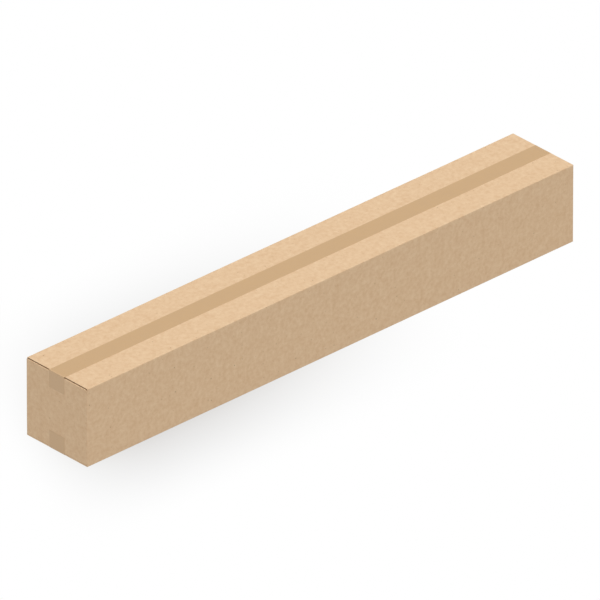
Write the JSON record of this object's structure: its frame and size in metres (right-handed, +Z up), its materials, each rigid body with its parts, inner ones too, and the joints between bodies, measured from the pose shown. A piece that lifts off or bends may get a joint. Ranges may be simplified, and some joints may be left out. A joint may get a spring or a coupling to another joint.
{
  "type": "cardboard box",
  "caption": "Long, narrow corrugated box in natural kraft board, its flaps closed and sealed with buff tape along the top and bottom seams and over the ends.",
  "frame": {"origin": "middle of the underside of the bottom tape, on the surface that the box stands on", "axes": "+X along the length of the box, +Y across its width, +Z up"},
  "size_m": [1.5002, 0.2, 0.2001],
  "materials": {
    "kraft_board": "matt natural kraft liner",
    "buff_tape": "smooth satin packing film"
  },
  "bodies": {
    "root": {"carton": "kraft_board", "top_tape": "buff_tape", "bottom_tape": "buff_tape"}
  },
  "joints": []
}
